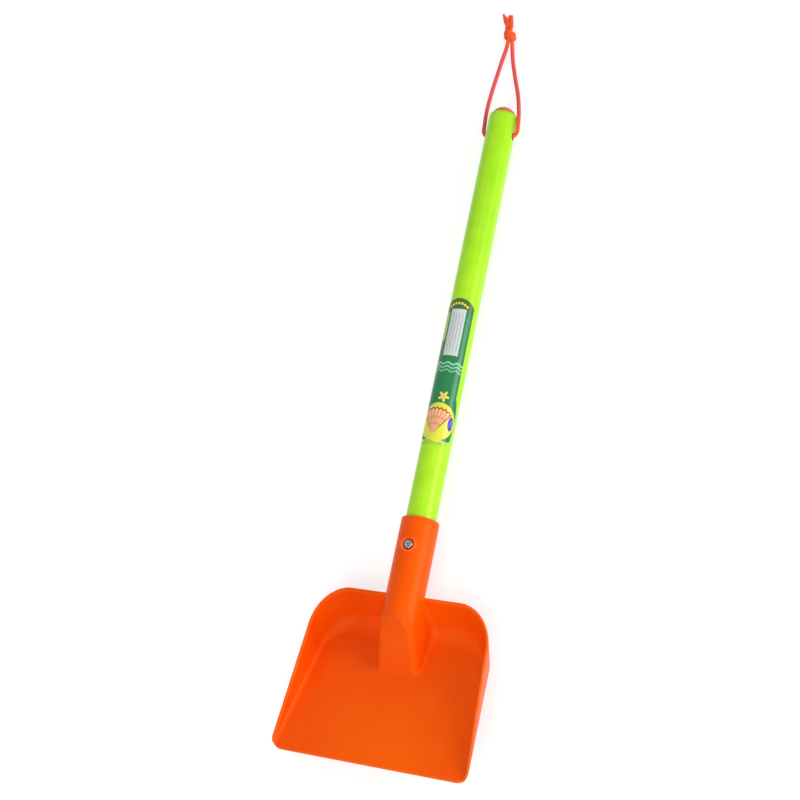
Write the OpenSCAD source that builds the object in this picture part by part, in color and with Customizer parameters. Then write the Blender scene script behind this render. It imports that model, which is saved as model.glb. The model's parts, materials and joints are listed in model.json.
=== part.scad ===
// Sand shovel: a moulded scoop with a socket, a covered steel shaft and a knotted hanging cord.
// The parts are drawn about the shaft: its axis is Y, the cap end is +Y, the scoop opens towards +Z.
// At the end the whole shovel is laid on its back, as it rests on the ground.

/* [Scoop] */
// Inside width of the scoop's floor at the front edge
floor_w = 142; // [120:1:160]
// Length of the floor from the front edge to the heel
floor_len = 103; // [90:1:120]
// Thickness of the moulding
wall = 2.3; // [1.8:0.1:3]
// Height of the side rim above the floor at the front edge
rim_front = 1.6; // [1.5:0.1:4]
// Height of the rim above the floor at the heel
rim_back = 26; // [20:0.5:34]
// Angle by which each side closes in towards the heel
side_close = 5.5; // [2:0.5:8]
// Outward lean of the side walls
side_lean = 8; // [4:0.5:12]
// Outward lean of the back wall
back_lean = 19; // [12:0.5:24]
// Radius of the floor's back corners in plan
corner_r = 22.5; // [16:0.5:28]
// Radius of the front corners in plan
front_r = 9; // [4:0.5:12]
// Inside fillet along the foot of the side walls
side_fillet = 3; // [2:0.5:4]
// Inside fillet along the heel
heel_fillet = 10; // [6:0.5:12]
// Angle between the floor and the shaft
lift = 18; // [14:0.5:22]
// Depth of the floor at the heel below the shaft's axis
heel_drop = 23.2; // [21:0.1:26]

/* [Socket] */
// Outside diameter of the socket
socket_d = 27.4; // [26:0.1:30]
// Distance from the socket's mouth to the heel along the shaft
socket_len = 80.5; // [70:0.5:95]
// Depth to which the shaft is pushed in
socket_depth = 73; // [60:0.5:76]
// Rounding of the socket's mouth
mouth_r = 2; // [1:0.1:2.2]
// Gap between the shaft and the socket's bore
bore_gap = 0.1; // [0.05:0.01:0.2]

/* [Ridge] */
// Length of the ridge on the floor, from the heel to its nose
ridge_len = 35; // [28:0.5:42]
// Width of the ridge's foot at the heel
ridge_heel_w = 35; // [32:0.5:44]
// Width of the ridge's foot at the nose
ridge_nose_w = 32; // [28:0.5:36]
// How far the ridge's upper edges lie inside the socket's surface
ridge_sink = 0.5; // [0.4:0.1:1]
// Radius of the corners of the ridge's foot
ridge_r = 5; // [3:0.5:7]
// Thickness of the stiffening rib in the hollow under the ridge
rib_t = 2; // [1.5:0.1:3]

/* [Shaft] */
// Outside diameter of the covered shaft
shaft_d = 22; // [21:0.1:23]
// Length of the shaft
shaft_len = 390; // [340:1:440]
// Thickness of the covering
sleeve_t = 0.8; // [0.5:0.1:1.2]
// Wall of the steel tube
tube_t = 1; // [0.8:0.1:1.5]
// Gap between the tube and what fits on or in it
fit_gap = 0.05; // [0.03:0.01:0.08]
// Rounding of the covering's upper end
end_r = 2; // [1:0.1:2.2]
// Thickness of the covering where it turns in over the end of the tube
end_t = 1; // [0.8:0.1:1.4]
// How far the covering turns in past the inside of the tube
turn_in = 0.6; // [0.4:0.1:1]

/* [Cord hole] */
// Diameter of the cross hole
hole_d = 5.6; // [5.5:0.1:7]
// Distance of the cross hole from the end of the shaft
hole_from_end = 18; // [15:0.5:25]

/* [End cap] */
// Height of the cap's flange
flange_h = 1.2; // [1:0.1:2]
// Rounding of the flange's edge
flange_r = 0.3; // [0.2:0.1:0.4]
// Height of the dome above the flange
dome_h = 5.4; // [4:0.1:8]
// Length of the plug inside the tube
plug_len = 11; // [8:0.5:11]
// Wall of the plug
plug_wall = 1.6; // [1.2:0.1:2]
// Width of each grip ring
ring_w = 1.2; // [0.8:0.1:1.6]
// Number of grip rings
ring_count = 3; // [2:1:3]

/* [Screw] */
// Distance of the screw from the socket's mouth
screw_from_mouth = 27; // [20:0.5:35]
// Diameter of the screw's head
head_d = 6.4; // [5.6:0.1:6.8]
// Height of the screw's head
head_h = 1.9; // [1.6:0.1:2.2]
// Diameter of the screw's shank
shank_d = 3.5; // [3:0.1:3.8]
// Length of the screw under its head
screw_len = 9.5; // [8:0.5:12]
// Depth of the cross recess
cross_depth = 1.1; // [0.8:0.1:1.3]
// Length of the cross recess
cross_l = 3.6; // [3:0.1:4]
// Width of the slots of the cross recess
cross_w = 0.8; // [0.6:0.1:1]
// Diameter of the recess that takes the head
recess_d = 8.2; // [7.6:0.1:9]
// Depth of the recess into the socket's wall
recess_depth = 1.3; // [1:0.1:1.5]
// Diameter of the raised lip round the recess
lip_d = 11.4; // [10.4:0.1:13]
// Height of the raised lip above the socket
lip_h = 0.5; // [0.3:0.1:0.8]

/* [Label] */
// Length of the label
label_len = 112.5; // [90:0.5:120]
// Distance of the label from the socket's mouth
label_from_mouth = 47.5; // [30:0.5:60]
// Angle of the shaft that the label covers
label_wrap = 128; // [100:1:150]
// Thickness of the label
label_t = 0.15; // [0.1:0.01:0.2]
// Radius of the label's arched upper end
arch_r = 14.5; // [13.5:0.5:30]
// Radius of the label's lower corners
label_r = 3; // [1:0.5:4]

/* [Cord] */
// Diameter of the cord
cord_d = 3; // [2.5:0.1:3]
// Diameter of the knot
knot_d = 9.4; // [8.6:0.1:11]
// Length of the knot
knot_len = 12; // [11:0.1:14]

/* [Hidden] */
$fn = 64;

// Fineness of the parts made of flat facets
corner_steps = 12;
wall_steps = 8;
arch_steps = 8;
arc_steps = 5;
hull_fn = 32;
cord_sides = 8;
// How far a cut runs past the face that it opens
over = 1;
// Thickness of the thin slices that a hull is stretched over
slice = 0.4;

// Shaft
shaft_r = shaft_d / 2;
tube_r = shaft_r - sleeve_t - fit_gap;
tube_in_r = tube_r - tube_t;
end_in_r = tube_in_r - turn_in;
shaft_end_y = shaft_len - socket_depth;
tube_end_y = shaft_end_y - end_t - fit_gap;
hole_y = shaft_end_y - hole_from_end;

// Socket
socket_r = socket_d / 2;
bore_r = shaft_r + bore_gap;

// Screw
screw_y = -screw_from_mouth;
seat_z = socket_r - recess_depth;
shank_r = shank_d / 2;
tip_len = shank_d;

// Scoop, in its own frame: the heel is at 0, the front edge at -floor_len, the floor's top at z = 0
half_w = floor_w / 2;
rim_rise = (rim_back - rim_front) / floor_len;
centre_y = -corner_r;
centre_x = half_w - (floor_len - corner_r) * tan(side_close) - corner_r / cos(side_close);
front_y = -floor_len;

// Where the wall of a station starts on the floor's outline, for a share of the turn round the corner
function turn(s) = side_close + s * (90 - side_close);
function out_dir(s) = [cos(turn(s)), sin(turn(s)), 0];
function lean(s) = side_lean + s * (back_lean - side_lean);
function fillet(s) = side_fillet + s * (heel_fillet - side_fillet);
function corner_at(s) = [centre_x, centre_y, 0] + corner_r * out_dir(s);
function side_at(y) = [half_w - (y - front_y) * tan(side_close), y, 0];

// The rim lies in one plane, so its height at a station follows from where the wall meets that plane
function rim_at(foot, s) =
    (rim_front + rim_rise * (foot.y - front_y)) / (1 - rim_rise * tan(lean(s)) * sin(turn(s)));

// The wall's inside at height z: the fillet r first, then the leaning wall; the angle is its outward normal's
function fillet_at(h, s) = min(fillet(s), h / (1 - sin(lean(s))));
function setback(r, s) = r / tan((90 + lean(s)) / 2);
function wall_angle(z, r, s) = z < r * (1 - sin(lean(s))) ? asin((z - r) / r) : -lean(s);
function wall_x(z, r, s) =
    z < r * (1 - sin(lean(s))) ? r * cos(asin((z - r) / r)) - setback(r, s) : z * tan(lean(s));

// One station's outline, across the wall: up the inside, over the rounded rim and down the outside
rise_power = 1.6;
rise_shares = [for (j = [0 : wall_steps]) pow(j / wall_steps, rise_power)];
function inside_points(h, r, s) = [for (f = rise_shares) [wall_x(h * f, r, s), h * f]];
function outside_points(h, r, s) =
    [for (j = [wall_steps : -1 : 0])
        let (z = h * rise_shares[j], a = wall_angle(z, r, s))
        [wall_x(z, r, s), z] + wall * [cos(a), sin(a)]];
function rim_points(h, r, s) =
    let (a = wall_angle(h, r, s), c = [wall_x(h, r, s), h] + wall / 2 * [cos(a), sin(a)])
    [for (b = [135, 90, 45]) c + wall / 2 * [cos(a + b), sin(a + b)]];
function profile(foot, s) =
    let (h = rim_at(foot, s) - wall / 2, r = fillet_at(h, s))
    concat(inside_points(h, r, s), rim_points(h, r, s), outside_points(h, r, s));
function station(foot, s) = [for (p = profile(foot, s)) foot + p.x * out_dir(s) + [0, 0, p.y]];
function mirrored(points) = [for (p = points) [-p.x, p.y, p.z]];

right_stations = concat(
    [station(side_at(front_y - over), 0)],
    [for (i = [0 : corner_steps]) station(corner_at(i / corner_steps), i / corner_steps)]);
stations = concat(
    right_stations,
    [for (i = [len(right_stations) - 1 : -1 : 0]) mirrored(right_stations[i])]);

// Ridge
ridge_start_y = -socket_len + (rim_back + wall) * sin(lift + back_lean) / cos(back_lean) - wall;
closed_end_y = -socket_depth - wall;

// Rest: the shovel lies on the round of its heel and on the rounded end of its shaft
heel_round = heel_fillet + wall;
heel_back = heel_fillet / tan((90 + back_lean) / 2);
heel_y = -socket_len - heel_back * cos(lift) + heel_fillet * sin(lift);
heel_z = -heel_drop + heel_back * sin(lift) + heel_fillet * cos(lift);
end_round_y = shaft_end_y - end_r;
end_round_z = shaft_r - end_r;
rest_span = [end_round_y - heel_y, -end_round_z - heel_z];
rest_tilt = atan2(rest_span.y, rest_span.x) + asin((heel_round - end_r) / norm(rest_span));
rest_z = end_r + end_round_z * cos(rest_tilt) + end_round_y * sin(rest_tilt);
low_front = [-socket_len - floor_len * cos(lift) - wall * sin(lift),
    -heel_drop + floor_len * sin(lift) - wall * cos(lift)];
low_y = low_front.x * cos(rest_tilt) + low_front.y * sin(rest_tilt);
high_y = (shaft_end_y + flange_h + dome_h) * cos(rest_tilt);
middle_y = (low_y + high_y) / 2;

// Label: half its width laid flat
label_half = label_wrap / 2 * PI / 180 * shaft_r;
label_y = label_from_mouth;

// Cord, measured from the middle of the cross hole as it lies on the ground: across, along, up
cord_r = cord_d / 2;
bend_start = 8.2;
hole_at = [0, hole_y * cos(rest_tilt) - middle_y, rest_z - hole_y * sin(rest_tilt)];
left_route = [[-8.2, 0, 0], [-10, 0.3, 0], [-11.7, 1.1, 0], [-13.1, 2.5, -0.1], [-13.9, 4.2, -0.3],
    [-14.3, 6.2, -0.6], [-14.9, 10, -1.6], [-15.9, 15, -3.4], [-17.1, 20.5, -5.6], [-18.1, 27, -8],
    [-18.4, 35, -9.6], [-17.8, 43.5, -10], [-16.8, 52, -10], [-15.7, 60.5, -10], [-14.6, 69, -9.8],
    [-13.6, 76, -9], [-12.7, 81.5, -7.8]];
right_route = [[8.2, 0, 0], [10, 0.3, 0], [11.7, 1.1, 0.1], [13, 2.4, 0.4], [13.8, 4.1, 0.8],
    [14, 6.1, 1.2], [13.8, 10, 1.6], [13.2, 15, 1.2], [11.8, 20.5, -0.6], [9.5, 27, -3.9],
    [6.7, 35, -7.4], [3.8, 43.5, -9.5], [0.8, 52, -10], [-2, 60.5, -10], [-4.6, 69, -9.8],
    [-6.8, 76, -9], [-8.5, 81.5, -7.8]];
// The knot lies on the ground; its turn is measured from the shaft's direction
knot_turn = 8;
knot_at = [-10.9, 92, knot_d / 2 - hole_at.z];
strand_gap = 0.4;
strand_x = (cord_d + strand_gap) / 2;
tail_routes = [
    [[-14.4, 101.5, -8.4], [-16.6, 106, -9.6], [-20, 111.5, -10]],
    [[-11.4, 101.5, -8.4], [-12.8, 106, -9.6], [-14.4, 111, -10]]];

// Places and directions
module scoop_frame() {
    translate([0, -socket_len, -heel_drop]) rotate([-lift, 0, 0]) children();
}
module laid() {
    translate([0, -middle_y, rest_z]) rotate([-rest_tilt, 0, 0]) children();
}
// A cylinder along the shaft, from y1 to y2
module along_shaft(r, y1, y2) {
    translate([0, y2, 0]) rotate([90, 0, 0]) cylinder(r = r, h = y2 - y1);
}
// A shape turned about the shaft's axis: its drawing has x as the radius and y along the shaft
module turned_on_shaft() {
    rotate([-90, 0, 0]) rotate_extrude() children();
}

// Shell of the scoop, as one skin over its stations
module scoop_shell() {
    n = len(stations);
    m = len(stations[0]);
    points = [for (s = stations) each s];
    skin = [for (i = [0 : n - 2], j = [0 : m - 2])
        each [[i * m + j, (i + 1) * m + j + 1, i * m + j + 1],
              [i * m + j, (i + 1) * m + j, (i + 1) * m + j + 1]]];
    floor_top = [[for (i = [n - 1 : -1 : 0]) i * m]];
    floor_bottom = [[for (i = [0 : n - 1]) i * m + m - 1]];
    last = (n - 1) * m;
    tip = (m - 1) / 2;
    wings = [for (j = [0 : tip - 1])
        each j == tip - 1
            ? [[j, j + 1, j + 2], [last + j, last + j + 2, last + j + 1]]
            : [[j, j + 1, m - 2 - j, m - 1 - j],
               [last + j, last + m - 1 - j, last + m - 2 - j, last + j + 1]]];
    front = [[0, m - 1, last + m - 1, last]];
    polyhedron(points = points, faces = concat(skin, floor_top, floor_bottom, wings, front), convexity = 6);
}

// Plan of the scoop's front with its rounded corners, wide enough for the walls
module front_plan() {
    reach = half_w + rim_back;
    trim_w = half_w + wall;
    difference() {
        translate([-reach, front_y]) square([2 * reach, floor_len + rim_back + wall]);
        for (side = [0, 1])
            mirror([side, 0]) difference() {
                translate([trim_w - front_r, front_y - over]) square([reach, front_r + over]);
                translate([trim_w - front_r, front_y + front_r]) circle(r = front_r);
            }
    }
}

// Solid of the ridge between the socket and the floor, smaller all round by inset
module ridge_form(inset, low, nose_y) {
    hull() {
        along_shaft(socket_r - ridge_sink - inset, ridge_start_y - inset, ridge_start_y - inset + slice, $fn = hull_fn);
        along_shaft(socket_r - ridge_sink - inset, nose_y, nose_y + slice, $fn = hull_fn);
        scoop_frame()
            for (side = [-1, 1]) {
                translate([side * (ridge_heel_w / 2 - ridge_r), -heel_back - ridge_r, 0])
                    translate([0, 0, low]) cylinder(r = ridge_r - inset, h = slice, $fn = hull_fn);
                translate([side * (ridge_nose_w / 2 - ridge_r), -ridge_len + ridge_r, 0])
                    translate([0, 0, low]) cylinder(r = ridge_r - inset, h = slice, $fn = hull_fn);
            }
    }
}

// Socket with a closed end, round its bore
module socket_form() {
    turned_on_shaft() difference() {
        translate([0, closed_end_y]) square([socket_r, -closed_end_y]);
        translate([socket_r - mouth_r, -mouth_r]) difference() {
            square(mouth_r + over);
            circle(r = mouth_r);
        }
    }
}

// Space behind a plane that lies in the back wall, depth behind the wall's inner face
module behind_scoop(depth) {
    scoop_frame() rotate([-back_lean, 0, 0])
        translate([-floor_w / 2, depth, -floor_w]) cube([floor_w, floor_w, 2 * floor_w]);
}

// Raised lip round the screw's recess
module screw_lip() {
    edge_r = (lip_d - recess_d) / 4;
    translate([0, screw_y, 0]) rotate_extrude() {
        square([lip_d / 2, socket_r + lip_h - edge_r]);
        square([lip_d / 2 - edge_r, socket_r + lip_h]);
        translate([lip_d / 2 - edge_r, socket_r + lip_h - edge_r]) circle(r = edge_r);
    }
}

// Scoop and ridge, with the hollow under the ridge and with room for the socket's tube
module scoop_form() {
    difference() {
        union() {
            scoop_frame() intersection() {
                scoop_shell();
                translate([0, 0, -wall - over]) linear_extrude(2 * rim_back) front_plan();
            }
            difference() {
                ridge_form(0, -wall / 2, closed_end_y);
                behind_scoop(wall / 2);
            }
        }
        difference() {
            ridge_form(wall, -wall - over, closed_end_y);
            behind_scoop(-slice);
            translate([-rib_t / 2, -socket_len - floor_w, -floor_w])
                cube([rib_t, floor_w, 2 * floor_w]);
        }
        along_shaft((bore_r + socket_r) / 2, -socket_depth - wall / 2, over);
    }
}

// Socket's tube with its closed end, its bore and the seat of the screw
module socket_tube() {
    difference() {
        union() {
            socket_form();
            screw_lip();
        }
        along_shaft(bore_r, -socket_depth, over);
        translate([0, screw_y, seat_z]) cylinder(d = recess_d, h = recess_depth + lip_h + over);
        translate([0, screw_y, 0]) cylinder(r = shank_r + fit_gap, h = socket_r);
    }
}

module blade() {
    color([0.96, 0.35, 0.05]) laid() {
        scoop_form();
        socket_tube();
    }
}

// Holes through the shaft: one for the screw in its front, one across it for the cord
module shaft_holes() {
    translate([0, screw_y, 0]) cylinder(r = shank_r + fit_gap, h = socket_r);
    translate([-shaft_d, hole_y, 0]) rotate([0, 90, 0]) cylinder(d = hole_d, h = 2 * shaft_d);
}

module shaft_tube() {
    color([0.72, 0.73, 0.75]) laid() difference() {
        along_shaft(tube_r, -socket_depth, tube_end_y);
        along_shaft(tube_in_r, -socket_depth - over, tube_end_y + over);
        shaft_holes();
    }
}

// Covering of the tube, rounded at its upper end, where it turns in over the tube
module shaft_sleeve() {
    color([0.66, 0.88, 0.04]) laid() difference() {
        turned_on_shaft() difference() {
            translate([0, -socket_depth]) square([shaft_r, shaft_len]);
            translate([end_round_z, end_round_y]) difference() {
                square(end_r + over);
                circle(r = end_r);
            }
        }
        along_shaft(shaft_r - sleeve_t, -socket_depth - over, shaft_end_y - end_t);
        along_shaft(end_in_r, shaft_end_y - end_t - over, shaft_end_y + over);
        shaft_holes();
    }
}

// Plug with a domed head, hollow inside, with rings that grip the tube
module end_cap() {
    edge_r = shaft_r - end_r;
    dome_r = (edge_r * edge_r + dome_h * dome_h) / (2 * dome_h);
    stem_r = end_in_r - fit_gap;
    ring_h = tube_in_r - fit_gap - stem_r;
    ring_step = plug_len / (ring_count + 1);
    color([0.88, 0.42, 0.28]) laid() translate([0, shaft_end_y, 0]) {
        turned_on_shaft() {
            translate([0, 0]) square([edge_r - flange_r, flange_h]);
            translate([0, flange_r]) square([edge_r, flange_h - flange_r]);
            translate([edge_r - flange_r, flange_r]) circle(r = flange_r);
            intersection() {
                translate([0, flange_h + dome_h - dome_r]) circle(r = dome_r);
                translate([0, flange_h]) square([edge_r, dome_h]);
            }
            translate([stem_r - plug_wall, -plug_len]) square([plug_wall, plug_len]);
            for (i = [1 : ring_count])
                translate([0, -i * ring_step]) polygon([
                    [stem_r - plug_wall / 2, -ring_w / 2],
                    [stem_r, -ring_w / 2],
                    [stem_r + ring_h, 0],
                    [stem_r, ring_w / 2],
                    [stem_r - plug_wall / 2, ring_w / 2]]);
        }
    }
}

module socket_screw() {
    edge_r = head_h / 2;
    color([0.75, 0.76, 0.78]) laid() translate([0, screw_y, seat_z]) difference() {
        union() {
            rotate_extrude() {
                square([head_d / 2, head_h - edge_r]);
                square([head_d / 2 - edge_r, head_h]);
                translate([head_d / 2 - edge_r, head_h - edge_r]) circle(r = edge_r);
            }
            translate([0, 0, -screw_len + tip_len]) cylinder(r = shank_r, h = screw_len - tip_len);
            translate([0, 0, -screw_len]) cylinder(r1 = 0, r2 = shank_r, h = tip_len);
        }
        for (a = [0, 90])
            rotate([0, 0, a]) translate([-cross_l / 2, -cross_w / 2, head_h - cross_depth])
                cube([cross_l, cross_w, cross_depth + over]);
    }
}

// Film on the front of the shaft, cut by its outline as seen from the front
module label() {
    top_y = label_y + label_len;
    across = [for (i = [-arch_steps : arch_steps]) i / arch_steps * label_half];
    arch = [for (u = across) [shaft_r * sin(u / shaft_r * 180 / PI),
        top_y - arch_r + sqrt(arch_r * arch_r - u * u)]];
    half_x = shaft_r * sin(label_wrap / 2);
    low_corners = [for (side = [1, -1], i = [0 : arc_steps])
        let (a = i / arc_steps * 90, b = side > 0 ? a : 90 - a)
        [side * (half_x - label_r + label_r * cos(b)), label_y + label_r * (1 - sin(b))]];
    color([0.1, 0.45, 0.28]) laid() intersection() {
        difference() {
            along_shaft(shaft_r + fit_gap + label_t, label_y, top_y);
            along_shaft(shaft_r + fit_gap, label_y - over, top_y + over);
        }
        linear_extrude(shaft_d) polygon(concat(arch, low_corners));
    }
}

// Tube along a route: rings square to it, the first and last as given, then joined into one skin
function unit(v) = v / norm(v);
function way(route, i, first, last) =
    i == 0 ? first : i == len(route) - 1 ? last : unit(route[i + 1] - route[i - 1]);
function ring(at, dir) =
    let (u = unit(cross([0, 0, 1], dir)), v = cross(dir, u))
    [for (k = [0 : cord_sides - 1]) at + cord_r * (cos(k * 360 / cord_sides) * u + sin(k * 360 / cord_sides) * v)];
module cord_tube(route, first, last) {
    n = len(route);
    c = cord_sides;
    points = [for (i = [0 : n - 1]) each ring(route[i], way(route, i, first, last))];
    sides = [for (i = [0 : n - 2], k = [0 : c - 1])
        each [[i * c + k, (i + 1) * c + k, (i + 1) * c + (k + 1) % c],
              [i * c + k, (i + 1) * c + (k + 1) % c, i * c + (k + 1) % c]]];
    ends = [[for (k = [0 : c - 1]) k], [for (k = [c - 1 : -1 : 0]) (n - 1) * c + k]];
    polyhedron(points = points, faces = concat(ends, sides), convexity = 8);
}
module on_cord() { color([0.9, 0.3, 0.28]) translate(hole_at) children(); }
knot_dir = [-sin(knot_turn), cos(knot_turn), 0];
knot_side = [cos(knot_turn), sin(knot_turn), 0];
knot_start = knot_at - knot_len / 2 * knot_dir;
knot_end = knot_at + knot_len / 2 * knot_dir;

module cord_through() {
    on_cord() translate([-bend_start, 0, 0]) rotate([0, 90, 0]) cylinder(r = cord_r, h = 2 * bend_start);
}
module cord_left() {
    on_cord() cord_tube(concat(left_route, [knot_start - strand_x * knot_side]), [-1, 0, 0], knot_dir);
}
module cord_right() {
    on_cord() cord_tube(concat(right_route, [knot_start + strand_x * knot_side]), [1, 0, 0], knot_dir);
}
// The knot's outer shape: a barrel with a waist, flat at both ends where the strands enter
module cord_knot() {
    lobe_r = knot_d / 2;
    end_r = strand_x + cord_r;
    on_cord() translate(knot_at) rotate([0, 0, knot_turn])
        translate([0, -knot_len / 2, 0]) turned_on_shaft() intersection() {
            square([lobe_r, knot_len]);
            union() {
                square([end_r, knot_len]);
                for (f = [1, 3])
                    translate([knot_d / 2 - knot_len / 4, f * knot_len / 4]) circle(r = knot_len / 4);
            }
        }
}
module cord_tails() {
    on_cord()
        for (i = [0, 1])
            cord_tube(concat([knot_end + (2 * i - 1) * strand_x * knot_side], tail_routes[i]),
                knot_dir, unit(tail_routes[i][2] - tail_routes[i][1]));
}

blade();
shaft_tube();
shaft_sleeve();
end_cap();
socket_screw();
label();
cord_through();
cord_left();
cord_right();
cord_knot();
cord_tails();
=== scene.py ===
import json
from math import asin, atan2, cos, hypot, pi, radians, sin, sqrt, tan

import bmesh
import bpy
import numpy as np
from mathutils import Matrix, Vector


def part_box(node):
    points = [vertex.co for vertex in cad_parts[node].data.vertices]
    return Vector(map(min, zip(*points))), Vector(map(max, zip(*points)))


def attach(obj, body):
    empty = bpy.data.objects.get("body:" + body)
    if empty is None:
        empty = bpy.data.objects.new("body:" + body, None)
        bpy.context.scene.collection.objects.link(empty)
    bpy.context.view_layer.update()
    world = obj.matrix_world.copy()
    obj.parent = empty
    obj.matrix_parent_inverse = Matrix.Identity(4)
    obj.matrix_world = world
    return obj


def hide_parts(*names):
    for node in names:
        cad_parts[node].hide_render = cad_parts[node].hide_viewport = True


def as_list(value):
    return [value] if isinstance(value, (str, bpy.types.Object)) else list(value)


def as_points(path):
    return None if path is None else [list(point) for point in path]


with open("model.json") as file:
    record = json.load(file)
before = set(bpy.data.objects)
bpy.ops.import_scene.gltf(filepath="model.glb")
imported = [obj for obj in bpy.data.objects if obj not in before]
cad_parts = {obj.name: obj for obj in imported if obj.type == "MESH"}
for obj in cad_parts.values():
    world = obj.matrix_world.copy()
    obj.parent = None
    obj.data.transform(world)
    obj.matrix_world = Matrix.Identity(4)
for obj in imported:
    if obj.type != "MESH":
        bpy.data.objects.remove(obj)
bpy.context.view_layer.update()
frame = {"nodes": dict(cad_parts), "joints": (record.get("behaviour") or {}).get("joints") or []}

MM = 0.001
TINY = 1e-6

# Sizes in millimetres. The shaft's frame has its origin in the CAD socket's mouth, +Y along the shaft
# to the cap and +Z to the front; the scoop's frame has its origin at the heel, -Y to the front edge.
SHAFT_D = 22.0
SHAFT_R = SHAFT_D / 2
SHAFT_LEN = 390.0
SOCKET_DEPTH = 73.0
SHAFT_END = SHAFT_LEN - SOCKET_DEPTH
END_R = 2.0
HOLE_Y = SHAFT_END - 18.0

# Scoop
WALL = 2.3
FLOOR_W = 142.0
FLOOR_LEN = 103.0
RIM_FRONT = 1.6
RIM_BACK = 26.0
SIDE_CLOSE = radians(5.5)
SIDE_LEAN = radians(8.0)
BACK_LEAN = radians(19.0)
CORNER_R = 22.5
FRONT_R = 9.0
FRONT_SPARE = 0.6
EDGE_R = 0.9
SIDE_FILLET = 3.0
HEEL_FILLET = 10.0
LEAST_FILLET = 0.5
LIFT = radians(18.0)
HEEL_DROP = 23.2

# Socket: MOUTH_BACK is how far its seen mouth stands nearer to the scoop than the CAD's
SOCKET_R = 13.7
SOCKET_LEN = 80.5
MOUTH_R = 2.0
MOUTH_BACK = 5.9
BORE_R = 11.1
BORE_EDGE_R = 0.4
SCREW_Y = -27.0
SEAT_Z = SOCKET_R - 1.3
RECESS_R = 4.1
RECESS_EDGE_R = 0.35
LIP_R = 5.7
LIP_H = 0.5
LIP_EDGE_R = 0.8

# Ridge in the scoop: its half width at the heel and at the nose, its cut slope and the fillet at its foot
RIDGE_HALF_HEEL = 17.2
RIDGE_HALF_NOSE = 16.6
RIDGE_LEN = 35.0
RIDGE_REACH = (-0.3, 1.1)
RIDGE_LEAN = radians(9.0)
RIDGE_TOP_R = 0.5
IN_BACK = 0.4
IN_BACK_R = 0.3
IN_FLOOR = 0.3
IN_FLOOR_R = 0.2
SLOPE_START = (-75.6, SOCKET_R)
SLOPE_TURN = 20.0
SLOPE_EDGE = 4.0
NOSE_AT = (-113.8, -12.4)
FOOT_HEEL = 4.5
FOOT_NOSE = 0.8
FOOT_FADE = 14.0
FOOT_LEAST = 0.1
HOLLOW_R = 1.0
RIB_T = 2.0
RIB_R = 0.6

# The shaft's place, from the frame: its tilt from the covering's box, its origin from the loop's hinge
low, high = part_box("shaft_sleeve")
SPAN = (SHAFT_LEN - END_R, SHAFT_D - END_R)
TILT = asin(((high.z - low.z) / MM - END_R) / hypot(*SPAN)) - atan2(SPAN[1], SPAN[0])
HOLE_AT = Vector(frame["joints"][0]["pos_m"]) / MM
TURN = Matrix.Rotation(-TILT, 3, "X")
ORIGIN = HOLE_AT - TURN @ Vector((0, HOLE_Y, 0))


def placed(points):
    """Points of the shaft's frame in millimetres, as points of the row's frame in metres."""
    turn = np.array(TURN)
    return (np.asarray(points, float) @ turn.T + np.array(ORIGIN)) * MM


def scoop_to_shaft(points):
    """Points of the scoop's frame, as points of the shaft's frame."""
    turn = np.array(Matrix.Rotation(-LIFT, 3, "X"))
    return np.asarray(points, float) @ turn.T + np.array((0, -SOCKET_LEN, -HEEL_DROP))


# Camera: focal length and centre of the photograph in its pixels, turns in degrees, place in
# millimetres, and how far it sees in metres
PHOTO_PX = 800
FOCAL_PX = 1515.8
CENTRE_PX = (408.8, 368.8)
CAMERA_TURNS = (-17.17, -24.83, -12.1)
CAMERA_AWAY = (9.8, -101.4, -1074.6)
CAMERA_REACH = 20
SENSOR = 36.0


def make_camera():
    rx, ry, rz = (radians(a) for a in CAMERA_TURNS)
    look = Matrix.Rotation(rz, 3, "Z") @ Matrix.Rotation(rx, 3, "X") @ Matrix.Rotation(ry, 3, "Y")
    place = -(look.transposed() @ Vector(CAMERA_AWAY))
    turn = (TURN @ look.transposed()).to_quaternion()
    camera = bpy.data.objects.new("camera", bpy.data.cameras.new("camera"))
    bpy.context.scene.collection.objects.link(camera)
    camera.matrix_world = Matrix.LocRotScale((TURN @ place + ORIGIN) * MM, turn, None)
    camera.data.sensor_fit = "HORIZONTAL"
    camera.data.sensor_width = SENSOR
    camera.data.lens = FOCAL_PX * SENSOR / PHOTO_PX
    camera.data.shift_x = (PHOTO_PX / 2 - CENTRE_PX[0]) / PHOTO_PX
    camera.data.shift_y = (CENTRE_PX[1] - PHOTO_PX / 2) / PHOTO_PX
    camera.data.clip_end = CAMERA_REACH
    bpy.context.scene.camera = camera


make_camera()


# Meshes
def new_object(name, points, faces, material):
    """Smooth object from points in metres of the row's frame, its normals made to point outwards."""
    mesh = bpy.data.meshes.new(name)
    mesh.from_pydata([tuple(p) for p in points], [], [tuple(f) for f in faces])
    mesh.validate()
    tidy = bmesh.new()
    tidy.from_mesh(mesh)
    bmesh.ops.recalc_face_normals(tidy, faces=tidy.faces)
    tidy.to_mesh(mesh)
    tidy.free()
    mesh.polygons.foreach_set("use_smooth", [True] * len(mesh.polygons))
    mesh.materials.append(material)
    thing = bpy.data.objects.new(name, mesh)
    bpy.context.scene.collection.objects.link(thing)
    return thing


def write_lay(piece, lay):
    """Store what the materials read at each point: the braid's height and tone, or the label's u and v."""
    layer = piece.data.attributes.new("lay", "FLOAT_VECTOR", "POINT")
    layer.data.foreach_set("vector", np.asarray(lay, np.float32).ravel())


def unit(v):
    return v / np.linalg.norm(v, axis=-1, keepdims=True)


def eased(t):
    return t * t * (3 - 2 * t)


# Surface of a distance field: how often its points are pulled onto it, the step that measures its
# slope, and the least slope that a pull divides by
PULLS = 4
NUDGE = 0.01
LEAST_SLOPE = 0.2


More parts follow.
